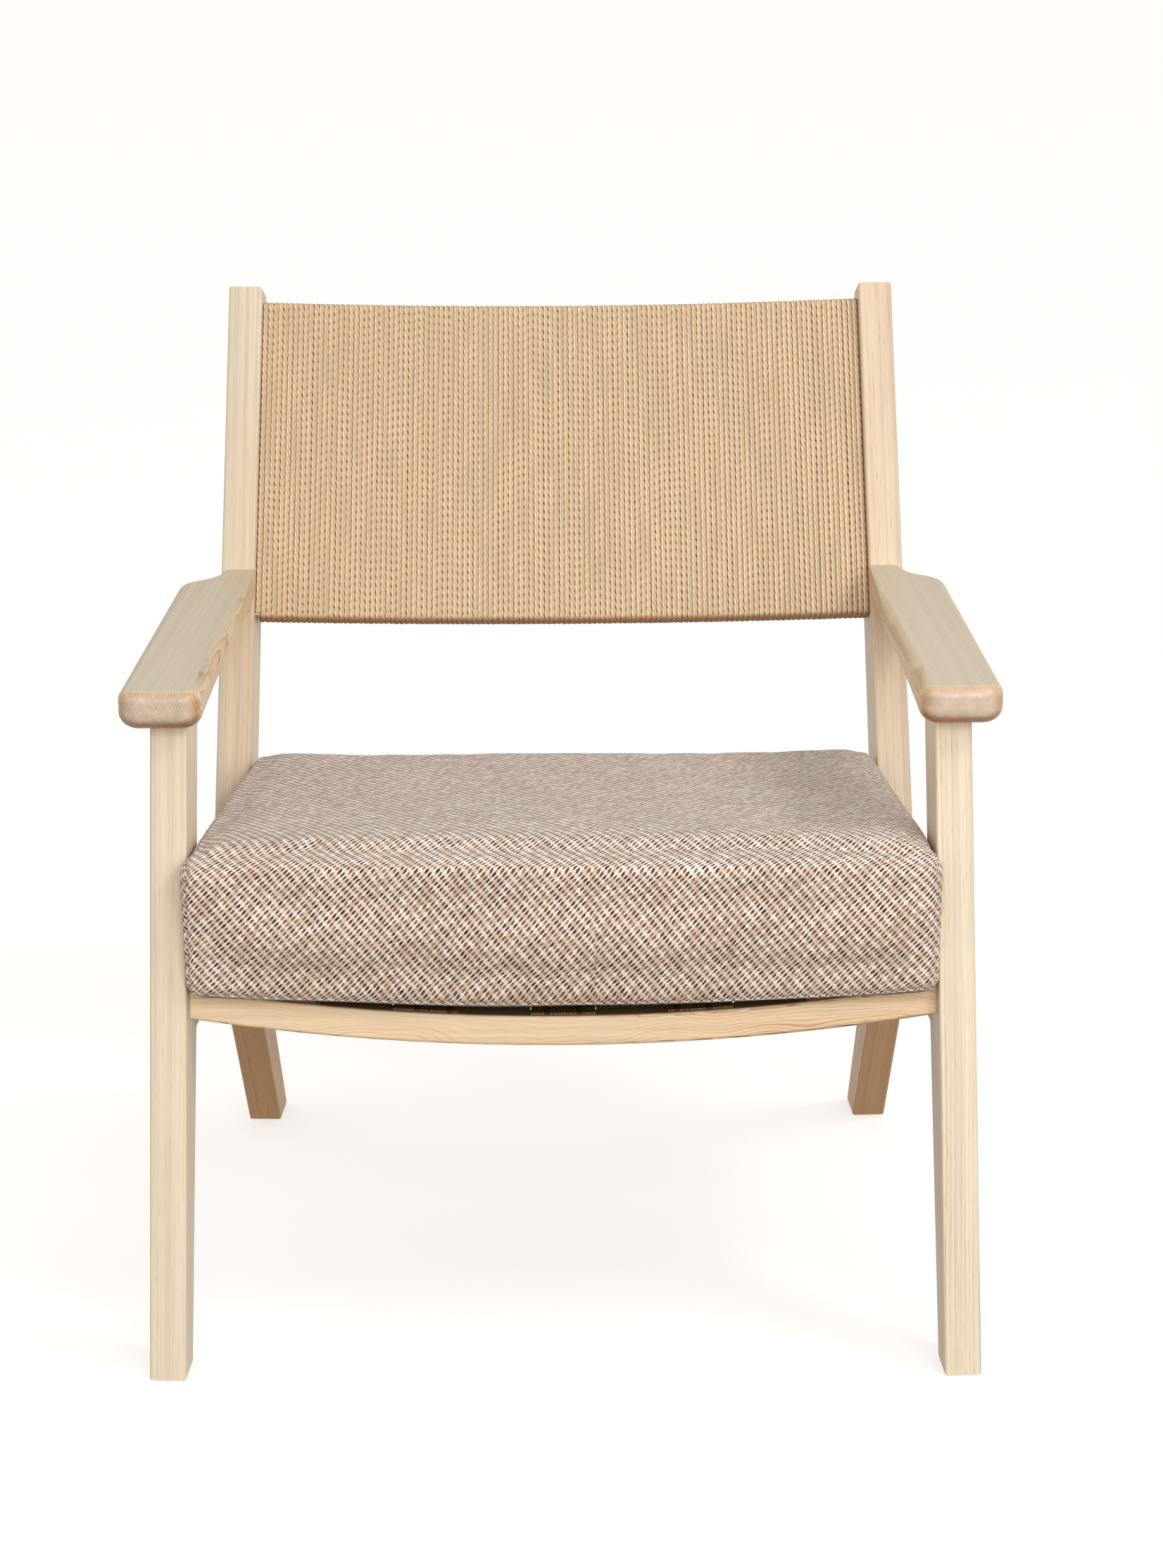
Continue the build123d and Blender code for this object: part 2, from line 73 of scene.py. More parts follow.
# ---- node trees ----------------------------------------------------------------------------------
class Graph:
    """One material's node tree, with short calls for its nodes."""

    def __init__(self, name):
        self.material = bpy.data.materials.new(name)
        self.material.use_nodes = True
        self.tree = self.material.node_tree
        self.tree.nodes.clear()
        out = self.tree.nodes.new("ShaderNodeOutputMaterial")
        self.shader = self.tree.nodes.new("ShaderNodeBsdfPrincipled")
        self.tree.links.new(self.shader.outputs[0], out.inputs[0])

    def put(self, socket, value):
        if isinstance(value, bpy.types.NodeSocket):
            self.tree.links.new(value, socket)
        elif value is not None:
            socket.default_value = value

    def node(self, kind, values=(), **settings):
        made = self.tree.nodes.new("ShaderNode" + kind)
        for key, value in settings.items():
            setattr(made, key, value)
        for i, value in enumerate(values):
            self.put(made.inputs[i], value)
        return made

    def math(self, operation, a, b=None):
        return self.node("Math", (a, b), operation=operation).outputs[0]

    def add(self, a, b):
        return self.math("ADD", a, b)

    def mul(self, a, b):
        return self.math("MULTIPLY", a, b)

    def span(self, value, a, b, c=0.0, d=1.0):
        made = self.node("MapRange", (value, a, b, c, d), interpolation_type="SMOOTHSTEP")
        return made.outputs[0]

    def place(self):
        return self.node("TexCoord").outputs["Object"]

    def dot(self, a, b):
        return self.node("VectorMath", (a, tuple(b)), operation="DOT_PRODUCT").outputs["Value"]

    def combine(self, x, y, z=0.0):
        return self.node("CombineXYZ", (x, y, z)).outputs[0]

    def split(self, vector):
        return self.node("SeparateXYZ", (vector,)).outputs

    def vector(self, operation, a, b):
        return self.node("VectorMath", (a, b), operation=operation).outputs[0]

    def noise(self, vector, scale=1.0, detail=2.0, rough=0.5, output=0):
        """Noise from 0 to 1 about 0.5; output 1 gives three such numbers as a colour."""
        made = self.node("TexNoise")
        self.put(made.inputs["Vector"], vector)
        self.put(made.inputs["Scale"], scale)
        self.put(made.inputs["Detail"], detail)
        self.put(made.inputs["Roughness"], rough)
        return made.outputs[output]

    def white(self, vector):
        made = self.node("TexWhiteNoise", noise_dimensions="3D")
        self.put(made.inputs["Vector"], vector)
        return made.outputs["Value"]

    def ramp(self, value, stops):
        """stops: (position, grey or colour)."""
        made = self.node("ValToRGB", (value,))
        ramp = made.color_ramp
        ramp.interpolation = "EASE"
        while len(ramp.elements) > 1:
            ramp.elements.remove(ramp.elements[-1])
        for i, (position, colour) in enumerate(stops):
            element = ramp.elements[0] if i == 0 else ramp.elements.new(position)
            element.position = position
            if isinstance(colour, float):
                colour = (colour, colour, colour)
            element.color = (*colour, 1.0)
        return made.outputs[0]

    def mix(self, factor, a, b, blend="MIX"):
        made = self.node("Mix", data_type="RGBA", blend_type=blend)
        self.put(made.inputs[0], factor)
        for socket, value in ((made.inputs[6], a), (made.inputs[7], b)):
            if isinstance(value, tuple):
                value = (*value, 1.0)
            self.put(socket, value)
        return made.outputs[2]

    def shaded(self, colour, amount):
        """The colour multiplied by a number."""
        return self.mix(1.0, colour, self.combine(amount, amount, amount), "MULTIPLY")

    def bump(self, height, distance, strength):
        made = self.node("Bump")
        self.put(made.inputs["Height"], height)
        made.inputs["Distance"].default_value = distance
        made.inputs["Strength"].default_value = strength
        self.put(self.shader.inputs["Normal"], made.outputs[0])

    def surface(self, colour, rough, others=()):
        """Colour, roughness and any (name, value) pairs of the shader's other inputs."""
        self.put(self.shader.inputs["Base Color"], colour)
        self.put(self.shader.inputs["Roughness"], rough)
        for name, value in others:
            self.shader.inputs[name].default_value = value


def rgb(r, g, b):
    """A screen colour, 0 to 255, as scene-linear numbers."""
    out = []
    for c in (r, g, b):
        c /= 255.0
        out.append(c / 12.92 if c <= 0.04045 else ((c + 0.055) / 1.055) ** 2.4)
    return tuple(out)


def middle(name):
    """Centre of the box round this CAD node."""
    lo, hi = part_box(name)
    return (Vector(lo) + Vector(hi)) / 2


# ---- ash -----------------------------------------------------------------------------------------
PALE = rgb(229, 217, 194)
HONEY = rgb(203, 172, 128)
PINK = rgb(222, 194, 168)
PORE = rgb(150, 116, 82)
OILED_END = rgb(214, 194, 174)
# painted shade and painted light for the end grain's rim: brown where it looks down, orange where it
# looks up
END_RIM_SHADED, END_RIM_LIT = rgb(150, 94, 50), rgb(218, 178, 134)
END_RING = rgb(134, 92, 62)
ARRIS = rgb(240, 224, 196)
UP = (0.0, 0.0, 1.0)
# how open the wood is through one year's ring, from the loose spring wood on
RING = ((0.0, 0.75), (0.07, 1.0), (0.30, 0.36), (0.62, 0.06), (0.90, 0.14), (1.0, 0.75))


def tinted(colour, tint):
    return tuple(c * t for c, t in zip(colour, tint))


def ash(name, axis, ring_dir, centre, radius=0.15, pitch=0.0026, wander=0.004, contrast=0.55,
        tint=(1.0, 1.0, 1.0), upward_shade_tint=None, blush=0.35, dark_line=HONEY, sway=1.8,
        end_lines=0.7, seed=0.0, shaded_tone=None, shaded_side=(0.0, -1.0, 0.0)):
    """Ash with true growth rings round a pith line, so every face shows its own cut of one plank.

    axis runs along the grain, ring_dir points away from the pith, radius is the distance to it, pitch
    the ring spacing, and wander how far the rings stray, which draws the cathedral figure. sway is how
    often they stray along the grain, end_lines how clearly the rings show on the cut ends. The last
    two arguments paint shade: a darker, warmer tone on the faces turned towards the given side.
    """
    g = Graph("ash_" + name)
    axis = Vector(axis).normalized()
    out = Vector(ring_dir)
    out = (out - axis * out.dot(axis)).normalized()
    across = axis.cross(out)
    pith = Vector(centre) - out * radius
    where = g.vector("SUBTRACT", g.place(), tuple(pith))
    u, v, w = g.dot(where, out), g.dot(where, across), g.dot(where, axis)

    def grained(side, along, shift=0.0, **kw):
        vector = g.combine(g.add(g.mul(u, side), seed + shift), g.mul(v, side), g.mul(w, along))
        return g.noise(vector, **kw)

    drift = g.mul(g.add(grained(9.0, sway, detail=2.0), -0.5), wander * 2.4)
    ripple = g.mul(g.add(grained(75.0, 5.0, 3.1, detail=3.0), -0.5), 0.0011)
    r = g.math("SQRT", g.add(g.mul(u, u), g.mul(v, v)))
    r = g.add(g.add(r, drift), ripple)
    q = g.mul(r, 1.0 / pitch)
    q = g.add(q, g.mul(g.noise(g.combine(g.mul(q, 0.31), seed, 0.0), detail=1.0), 2.2))
    phase = g.math("FRACT", q)
    year = g.math("FLOOR", q)
    early = g.ramp(phase, RING)
    vigour = g.span(g.white(g.combine(year, seed, 0.0)), 0.0, 1.0, 0.35, 1.0)
    faded = g.span(grained(26.0, 2.6, 31.0, detail=2.0), 0.35, 0.62, 0.35, 1.0)
    line = g.mul(g.mul(early, vigour), faded)
    fibre = grained(620.0, 14.0, 5.2, detail=4.0, rough=0.62)
    pore = g.span(grained(1500.0, 75.0, 7.7, detail=1.0), 0.60, 0.70)
    pore = g.mul(pore, g.add(g.mul(line, 0.8), 0.15))
    tone = g.span(grained(16.0, 1.1, 11.3, detail=2.0), 0.42, 0.68)
    pale, honey, pink, dark = [tinted(colour, tint) for colour in (PALE, dark_line, PINK, PORE)]
    colour = g.mix(g.mul(line, contrast), pale, honey)
    colour = g.mix(g.mul(tone, blush), colour, pink)
    colour = g.mix(g.mul(pore, 0.55), colour, dark)
    band = g.span(grained(150.0, 1.6, 23.0, detail=3.0), 0.36, 0.64, 0.915, 1.035)
    shade = g.mul(g.span(fibre, 0.25, 0.75, 0.93, 1.04), band)
    colour = g.shaded(colour, shade)
    normal = g.node("NewGeometry").outputs["Normal"]
    upward = g.dot(normal, UP)
    if upward_shade_tint:
        # painted shade on the faces that look up: a greyer tone on the arms' tops, and a deep brown on
        # the front seat rail's top, in the cushion's shadow
        top = g.span(upward, 0.72, 0.95)
        calm = g.mix(0.5, colour, pale)
        colour = g.mix(top, colour, g.mix(1.0, calm, upward_shade_tint, "MULTIPLY"))
    if shaded_tone:
        # painted shade: faces turned towards that side, in the chair's own shadow, take the darker tone
        turned = g.span(g.dot(normal, Vector(shaded_side).normalized()), -0.15, 0.35)
        colour = g.mix(turned, colour, g.mix(1.0, colour, shaded_tone, "MULTIPLY"))
    # end grain drinks the oil and goes darker, most of all at its rim. The rim's colour is painted light
    # and shade: a lit orange where it looks up, a shaded brown where it looks down, and the rim is
    # widened on faces that look down as painted shade
    facing = g.math("ABSOLUTE", g.dot(normal, axis))
    end = g.span(facing, 0.28, 0.52)
    down = g.span(upward, 0.15, -0.65)
    rim = g.math("MAXIMUM", g.span(facing, 0.97, 0.60), g.mul(g.span(facing, 1.0, 0.80), down))
    end_rim_light_and_shade = g.mix(g.span(upward, -0.55, 0.45), END_RIM_SHADED, END_RIM_LIT)
    end_stain_and_shade = g.mix(g.mul(rim, 0.75), OILED_END, end_rim_light_and_shade)
    end_stain_and_shade = g.mix(g.mul(line, end_lines), end_stain_and_shade, END_RING)
    end_stain_and_shade = g.shaded(end_stain_and_shade, shade)
    colour = g.mix(end, colour, end_stain_and_shade)
    # hands and cloth burnish the arrises
    bevel = g.node("Bevel", (0.0022,), samples=4).outputs[0]
    turn = g.node("VectorMath", (bevel, normal), operation="DOT_PRODUCT").outputs["Value"]
    arris = g.span(g.math("SUBTRACT", 1.0, turn), 0.01, 0.16)
    rubbed = g.mul(arris, g.span(grained(60.0, 12.0, 17.0, detail=2.0), 0.3, 0.7, 0.35, 1.0))
    colour = g.mix(g.mul(rubbed, 0.30), colour, tinted(ARRIS, tint))
    rough = g.add(g.span(fibre, 0.2, 0.8, 0.40, 0.54), g.mul(pore, 0.15))
    rough = g.math("SUBTRACT", rough, g.add(g.mul(rubbed, 0.07), g.mul(end, 0.16)))
    height = g.math("SUBTRACT", g.mul(fibre, 0.35), g.add(g.mul(pore, 0.8), g.mul(line, 0.22)))
    g.bump(height, 0.0004, 0.55)
    g.surface(colour, rough)
    return g.material


# ---- cloth, cord and the rest --------------------------------------------------------------------
WEAVE_A = (0.00190, -0.00242)       # from one pit in the weave to the next down a twill line
WEAVE_B = (0.00443, 0.00480)        # and to the next along a float
SHADED_UNDERSIDE = (-0.1185, -0.1200)         # where along the cloth the dark underside, painted as shade, begins
BROWNS = (
    (0.0, rgb(50, 36, 30)), (0.3, rgb(84, 60, 46)), (0.6, rgb(112, 80, 62)), (1.0, rgb(136, 100, 82)),
)


def tweed():
    """Heathered twill, read from the UVs: pits on a slanting grid with pale floats between them."""
    g = Graph("tweed")
    uv = g.node("UVMap", uv_map="weave").outputs[0]
    wave = g.noise(uv, scale=110.0, detail=4.0, rough=0.7, output=1)
    drift = g.vector("SUBTRACT", wave, (0.5, 0.5, 0.5))
    drift = g.vector("MULTIPLY", drift, (0.0012, 0.0012, 0.0))
    at = g.vector("ADD", uv, drift)
    det = WEAVE_A[0] * WEAVE_B[1] - WEAVE_A[1] * WEAVE_B[0]
    p = g.dot(at, (WEAVE_B[1] / det, -WEAVE_B[0] / det, 0.0))
    q = g.dot(at, (-WEAVE_A[1] / det, WEAVE_A[0] / det, 0.0))
    ip, iq = g.math("ROUND", p), g.math("ROUND", q)
    cell = g.white(g.combine(ip, iq, 1.0))
    # each column of pits is dark all along, darkest at the pits; the floats between stay pale
    column = g.span(g.math("COSINE", g.mul(p, 2 * math.pi)), -1.0, 1.0)
    row = g.span(g.math("COSINE", g.mul(q, 2 * math.pi)), -1.0, 1.0)
    depth = g.mul(column, g.span(row, 0.0, 1.0, 0.22, 1.0))
    strength = g.span(g.white(g.combine(ip, iq, 17.0)), 0.0, 1.0, 0.60, 1.25)
    hair = g.noise(uv, scale=1500.0, detail=3.0, rough=0.7)
    fuzz = g.noise(uv, scale=420.0, detail=3.0, rough=0.6)
    strand = g.noise(g.combine(g.mul(p, 4.0), g.mul(q, 1.3), 3.0), detail=3.0, rough=0.6)
    deep = g.add(g.mul(depth, strength), g.mul(g.add(strand, -0.5), 0.75))
    deep = g.add(deep, g.mul(g.add(hair, -0.5), 0.35))
    float_id = g.white(g.combine(g.math("FLOOR", p), g.math("FLOOR", q), 31.0))
    light = g.mix(float_id, rgb(216, 199, 182), rgb(255, 250, 244))
    middling = g.mix(cell, rgb(160, 136, 118), rgb(188, 152, 126))
    brown = g.ramp(cell, BROWNS)
    colour = g.mix(g.span(deep, 0.0, 0.36), light, middling)
    colour = g.mix(g.span(deep, 0.30, 0.82), colour, brown)
    colour = g.mix(g.span(hair, 0.60, 0.8, 0.0, 0.35), colour, rgb(238, 228, 218))
    colour = g.mix(g.span(fuzz, 0.56, 0.72, 0.0, 0.35), colour, rgb(172, 140, 118))
    patch = g.span(g.noise(uv, scale=14.0, detail=3.0), 0.3, 0.7, 0.96, 1.04)
    colour = g.shaded(colour, patch)
    # painted shade: the underside is plain dark brown cloth, coloured so the gap under the cushion's
    # front reads as deep shade
    shaded_underside = g.span(g.split(uv)[1], *SHADED_UNDERSIDE)
    colour = g.mix(shaded_underside, colour, g.mix(fuzz, rgb(40, 28, 22), rgb(66, 48, 38)))
    relief = g.add(g.mul(depth, -1.1), g.add(g.mul(hair, 0.25), g.mul(strand, 0.5)))
    g.bump(relief, 0.0009, 0.8)
    g.surface(colour, g.span(hair, 0.2, 0.8, 0.78, 0.95),
              (("Sheen Weight", 0.2), ("Sheen Roughness", 0.45), ("Specular IOR Level", 0.2)))
    return g.material


KRAFT_FLECK_AND_SHADE = rgb(190, 150, 104)


def paper_cord():
    """Three-ply twisted kraft paper.

    The mesh's "ply" carries how far a point stands up between the valleys, its stretch's tone, and on
    which side of the strand it lies.
    """
    g = Graph("paper_cord")
    ply = g.node("Attribute", attribute_name="ply").outputs["Vector"]
    crest, tone, side = g.split(ply)
    flank = g.mul(side, side)
    around, along, _ = g.split(g.node("UVMap", uv_map="along").outputs[0])
    crease = g.noise(g.combine(g.mul(around, 9.0), g.mul(along, 160.0)), detail=3.0, rough=0.65)
    fleck = g.noise(g.combine(g.mul(around, 3.0), g.mul(along, 700.0), 4.0), detail=2.0)
    valley = g.span(crest, 0.75, 0.0)
    # painted shade: the strand's sides, pressed against its neighbours, are a darker tan than its front
    colour = g.mix(g.span(flank, 0.25, 0.9), rgb(212, 182, 142), rgb(192, 150, 102))
    # painted highlight: a pale cream strip along one shoulder of every strand, where the light catches it
    paler_mask = g.span(g.math("ABSOLUTE", g.add(side, 0.45)), 0.36, 0.10)
    colour = g.mix(g.mul(paler_mask, g.span(crest, 0.0, 0.6, 0.6, 0.95)), colour, rgb(246, 234, 212))
    # painted shade: a little darker in the valleys between the plies
    colour = g.mix(g.mul(valley, 0.15), colour, KRAFT_FLECK_AND_SHADE)
    # painted shade: dark brown in the grooves where each strand meets its neighbours
    notch = g.add(g.span(side, 0.30, 0.80), g.span(side, -0.80, -0.95, 0.0, 0.6))
    hollow_shade = g.mul(g.mul(g.span(crest, 0.85, 0.15), notch), g.span(tone, 0.1, 0.8, 0.35, 0.95))
    colour = g.mix(hollow_shade, colour, rgb(112, 76, 48))
    colour = g.mix(g.span(crease, 0.45, 0.75, 0.0, 0.3), colour, rgb(222, 202, 168))
    colour = g.mix(g.span(fleck, 0.62, 0.78, 0.0, 0.25), colour, KRAFT_FLECK_AND_SHADE)
    colour = g.shaded(colour, g.span(tone, 0.0, 1.0, 0.88, 1.0))
    # painted shade: darker brown on the faces that turn under the bottom rail; the faces that look up
    # over the top rail are a little darker brown too
    upward = g.dot(g.node("NewGeometry").outputs["Normal"], PANEL_UP)
    colour = g.mix(g.span(upward, -0.15, -0.85, 0.0, 0.75), colour, rgb(160, 108, 60))
    colour = g.mix(g.span(upward, 0.55, 0.95, 0.0, 0.5), colour, rgb(178, 136, 90))
    g.bump(g.add(g.mul(crease, 0.7), g.mul(fleck, 0.3)), 0.0003, 0.6)
    g.surface(colour, g.span(crease, 0.2, 0.8, 0.52, 0.70), (("Specular IOR Level", 0.35),))
    return g.material


WEB_RIB, WEB_PICK, WEB_STRIPE = 0.0021, 0.0017, 0.0125     # metres from one to the next


def webbing(name, along):
    """Jute-and-elastic upholstery webbing: ribs along the strap, herringbone picks across."""
    g = Graph("webbing_" + name)
    x, y, _ = g.split(g.place())
    u, v = (x, y) if along == "y" else (y, x)
    a, b = g.mul(u, 1 / WEB_RIB), g.mul(v, 1 / WEB_PICK)
    rib = g.math("ABSOLUTE", g.math("SINE", g.mul(a, math.pi)))
    half = g.math("PINGPONG", a, 6.0)
    pick = g.math("FRACT", g.add(b, g.mul(half, 0.5)))
    thread = g.math("SINE", g.mul(pick, math.pi))
    fuzz = g.noise(g.combine(g.mul(u, 900.0), g.mul(v, 900.0)), detail=3.0, rough=0.65)
    stripe = g.span(g.math("PINGPONG", g.mul(u, 1 / WEB_STRIPE), 1.0), 0.78, 0.82)
    knot = g.white(g.combine(g.math("FLOOR", a), g.math("FLOOR", b), 0.0))
    base = g.mix(knot, rgb(112, 84, 56), rgb(142, 110, 76))
    base = g.mix(g.mul(stripe, 0.7), base, rgb(62, 44, 30))
    height = g.add(g.mul(rib, 0.5), g.mul(thread, 0.5))
    # painted shade: darker in the low places between the ribs and picks
    colour = g.shaded(base, g.span(height, 0.1, 0.9, 0.55, 1.05))
    g.bump(g.add(height, g.mul(fuzz, 0.3)), 0.0006, 0.8)
    g.surface(colour, g.span(fuzz, 0.2, 0.8, 0.8, 0.95), (("Specular IOR Level", 0.2),))
    return g.material


def foam():
    g = Graph("foam")
    where = g.place()
    cells = g.node("TexVoronoi", feature="F1")
    g.put(cells.inputs["Vector"], where)
    cells.inputs["Scale"].default_value = 900.0
    hole = g.span(cells.outputs[0], 0.1, 0.6)
    cloud = g.noise(where, scale=30.0, detail=3.0)
    # painted shade: darker in each cell's pore
    colour = g.mix(hole, rgb(196, 186, 150), rgb(232, 224, 190))
    colour = g.mix(g.span(cloud, 0.35, 0.7, 0.0, 0.3), colour, rgb(214, 200, 160))
    g.bump(hole, 0.0006, 0.7)
    g.surface(colour, g.span(hole, 0.0, 1.0, 0.98, 0.88))
    return g.material


def dowel_beech():
    g = Graph("dowel_beech")
    where = g.place()
    streak = g.noise(where, scale=240.0, detail=4.0, rough=0.6)
    fleck = g.span(g.noise(where, scale=900.0, detail=1.0), 0.58, 0.66)
    colour = g.mix(streak, rgb(198, 158, 116), rgb(224, 190, 150))
    colour = g.mix(g.mul(fleck, 0.5), colour, rgb(158, 112, 76))
    g.bump(streak, 0.0003, 0.5)
    g.surface(colour, g.span(streak, 0.3, 0.7, 0.55, 0.7))
    return g.material


def nylon():
    """Moulded grey nylon, scuffed where it meets the floor."""
    g = Graph("glide_nylon")
    where = g.place()
    grain = g.noise(where, scale=1400.0, detail=2.0)
    height = g.split(where)[2]
    paler_mask = g.mul(g.span(height, 0.0012, 0.0), g.span(g.noise(where, scale=420.0, detail=3.0), 0.4, 0.65))
    colour = g.mix(grain, rgb(120, 116, 110), rgb(146, 142, 135))
    colour = g.mix(paler_mask, colour, rgb(190, 184, 172))
    g.bump(g.add(grain, g.mul(paler_mask, 0.5)), 0.00015, 0.6)
    g.surface(colour, g.add(g.span(grain, 0.3, 0.7, 0.42, 0.55), g.mul(paler_mask, 0.2)))
    return g.material


# ---- materials on the wooden members -------------------------------------------------------------
SHADED_MEMBER_TINT = (0.97, 0.93, 0.86)          # painted shade: the members that lie in the frame's shade are tinted darker and warmer


def assign(obj, material):
    """One material on every slot, so no imported finish is left."""
    if not obj.data.materials:
        obj.data.materials.append(material)
    for i in range(len(obj.data.materials)):
        obj.data.materials[i] = material


for sign, hand in ((1, "right"), (-1, "left")):
    seed = 3.0 if sign > 0 else 8.0
    members = {
        "front_leg": dict(
            axis=(-TOE_IN * LEG_LEAN * sign, LEG_LEAN, 1), ring_dir=(1, -0.55, 0), radius=0.19,
            pitch=0.0030, wander=0.0035, contrast=0.70, blush=0.15),
        "back_post": dict(
            axis=(-TOE_IN * POST_LEAN * sign, POST_LEAN, 1), ring_dir=(1, -0.75, 0), radius=0.22,
            pitch=0.0034, wander=0.005, contrast=0.60, blush=0.6, tint=(0.97, 0.96, 0.95)),
        # the rear legs' faces turned forward and down take a painted shade tone
        "rear_leg": dict(
            axis=(-TOE_IN * REAR_LEAN * sign, REAR_LEAN, 1), ring_dir=(1, 0.5, 0.5), radius=0.17,
            pitch=0.0028, wander=0.004, contrast=0.7, tint=SHADED_MEMBER_TINT,
            shaded_tone=(0.866, 0.667, 0.442), shaded_side=(-0.55 * sign, -0.80, -0.25)),
        "side_rail": dict(
            axis=(-TOE_IN * sign, 1, -0.04), ring_dir=(0.8, 0, 1), radius=0.15,
            pitch=0.0030, wander=0.006, contrast=0.6, tint=SHADED_MEMBER_TINT),
        "armrest": dict(
            axis=(-TOE_IN * sign, 1, 0), ring_dir=(1, 0, 0.42), radius=0.13,
            pitch=0.0016, wander=0.0055, contrast=0.9, tint=(0.97, 0.88, 0.76),
            upward_shade_tint=(0.86, 0.925, 1.02), blush=0.3, dark_line=rgb(184, 138, 92), sway=3.2,
            end_lines=0.16 if sign > 0 else 0.85),
    }
    for part, look in members.items():
        node = f"{part}_{hand}"
        assign(nodes[node], ash(node, centre=middle(node), seed=seed, **look))
        seed += 4.7

back_rail = dict(radius=0.12, pitch=0.003, wander=0.006, contrast=0.6)
rails = {
    # painted light: the front rail's tint brightens it where the cushion's overhang keeps light off its
    # front; its top gets a deep brown painted shade, the cushion's shadow
    "front_seat_rail": dict(
        ring_dir=(0, -0.75, 0.66), radius=0.07, pitch=0.0015, wander=0.014, contrast=1.0,
        dark_line=rgb(206, 142, 80), tint=(1.20, 1.10, 0.95), sway=7.0, upward_shade_tint=(0.34, 0.24, 0.17)),
    "rear_seat_rail": dict(
        ring_dir=(0, 1, 0.5), radius=0.10, pitch=0.0036, wander=0.009, contrast=0.7,
        tint=(0.98, 0.93, 0.84)),
    "back_top_rail": dict(ring_dir=(0, 1, 0.3), **back_rail),
    "back_bottom_rail": dict(ring_dir=(0, 1, -0.3), **back_rail),
}
seed = 30.0
for node, look in rails.items():
    assign(nodes[node], ash(node, axis=(1, 0, 0), centre=middle(node), seed=seed, **look))
    seed += 5.3

beech, glide = dowel_beech(), nylon()
strap_long, strap_cross = webbing("long", "y"), webbing("cross", "x")
for name, obj in nodes.items():
    if "_dowel_" in name:
        assign(obj, beech)
    elif "_glide_" in name:
        assign(obj, glide)
    elif name.startswith("seat_strap_long"):
        assign(obj, strap_long)
    elif name.startswith("seat_strap_cross"):
        assign(obj, strap_cross)
assign(nodes["cushion_foam"], foam())


# ---- mesh helpers --------------------------------------------------------------------------------
def make_mesh(name, points, quads, material, smooth_faces=True):
    """Object from numpy arrays of points (n, 3) and quads (m, 4)."""
    mesh = bpy.data.meshes.new(name)
    mesh.vertices.add(len(points))
    mesh.vertices.foreach_set("co", np.ascontiguousarray(points, np.float32).ravel())
    mesh.loops.add(quads.size)
    mesh.loops.foreach_set("vertex_index", np.ascontiguousarray(quads, np.int32).ravel())
    mesh.polygons.add(len(quads))
    mesh.polygons.foreach_set("loop_start", np.arange(0, quads.size, 4, dtype=np.int32))
    mesh.update(calc_edges=True)
    mesh.polygons.foreach_set("use_smooth", np.full(len(quads), smooth_faces))
    mesh.validate()
    obj = bpy.data.objects.new(name, mesh)
    scene.collection.objects.link(obj)
    mesh.materials.append(material)
    return obj


def set_uv(obj, name, values):
    layer = obj.data.uv_layers.new(name=name)
    layer.data.foreach_set("uv", np.ascontiguousarray(values, np.float32).ravel())


def noise_at(places):
    """Blender's noise at each row of an (n, 3) array."""
    return np.array([noise.noise(Vector(place)) for place in places])


# ---- the cord back: one long paper cord wound round the two curved rails -------------------------
PANEL_LEAN = math.atan(POST_LEAN)
PANEL_ORIGIN = np.array((0.0, 0.17502, 0.488))
PANEL_BACK = np.array((0.0, math.cos(PANEL_LEAN), -math.sin(PANEL_LEAN)))
PANEL_UP = np.array((0.0, math.sin(PANEL_LEAN), math.cos(PANEL_LEAN)))
PANEL_HEIGHT = 0.2773
PANEL_THICK = 0.022
PANEL_BOW = 0.020
PANEL_HALF = 0.262          # half the width over which the rails bow
BOW_BACK = 0.008            # the rails' ends lie this far behind the panel's origin
RAIL_INSET = 0.003          # the rails lie this far inside the panel's faces
RIGHT = np.array((1.0, 0.0, 0.0))
TURNS = 119
CORD_WIDE = 0.00280         # half the cord's width; neighbours press into each other a little
CORD_DEEP = 0.00190         # half its thickness on the rails
LAY = 0.021                 # length of one full twist of the three plies
TWIST_DRIFT = 0.012         # how unevenly the twist runs
CORNER = 0.0036             # radius at which the cord turns over a rail's edge
PROFILE = 12                # points round the cord
STEP = 0.0021               # and the distance from one such ring to the next


def wound_loop():
    """One turn's path in the panel's (back, up) plane: each row a point and its outward normal."""
    off = RAIL_INSET - CORD_DEEP
    y0, y1 = off, PANEL_THICK - off
    z0, z1 = off, PANEL_HEIGHT - off
    pieces = []

    def run(a, b, normal):
        n = max(2, int(round(np.linalg.norm(np.subtract(b, a)) / STEP)))
        for i in range(n):
            t = i / n
            pieces.append((a[0] + (b[0] - a[0]) * t, a[1] + (b[1] - a[1]) * t, *normal))

    def bend(centre, start):
        for i in range(5):
            angle = start - math.pi / 2 * i / 5
            c, s = math.cos(angle), math.sin(angle)
            pieces.append((centre[0] + CORNER * c, centre[1] + CORNER * s, c, s))

    run((y0, z0 + CORNER), (y0, z1 - CORNER), (-1.0, 0.0))
    bend((y0 + CORNER, z1 - CORNER), math.pi)
    run((y0 + CORNER, z1), (y1 - CORNER, z1), (0.0, 1.0))
    bend((y1 - CORNER, z1 - CORNER), math.pi / 2)
    run((y1, z1 - CORNER), (y1, z0 + CORNER), (1.0, 0.0))
    bend((y1 - CORNER, z0 + CORNER), 0.0)
    run((y1 - CORNER, z0), (y0 + CORNER, z0), (0.0, -1.0))
    bend((y0 + CORNER, z0 + CORNER), -math.pi / 2)
    return np.array(pieces)


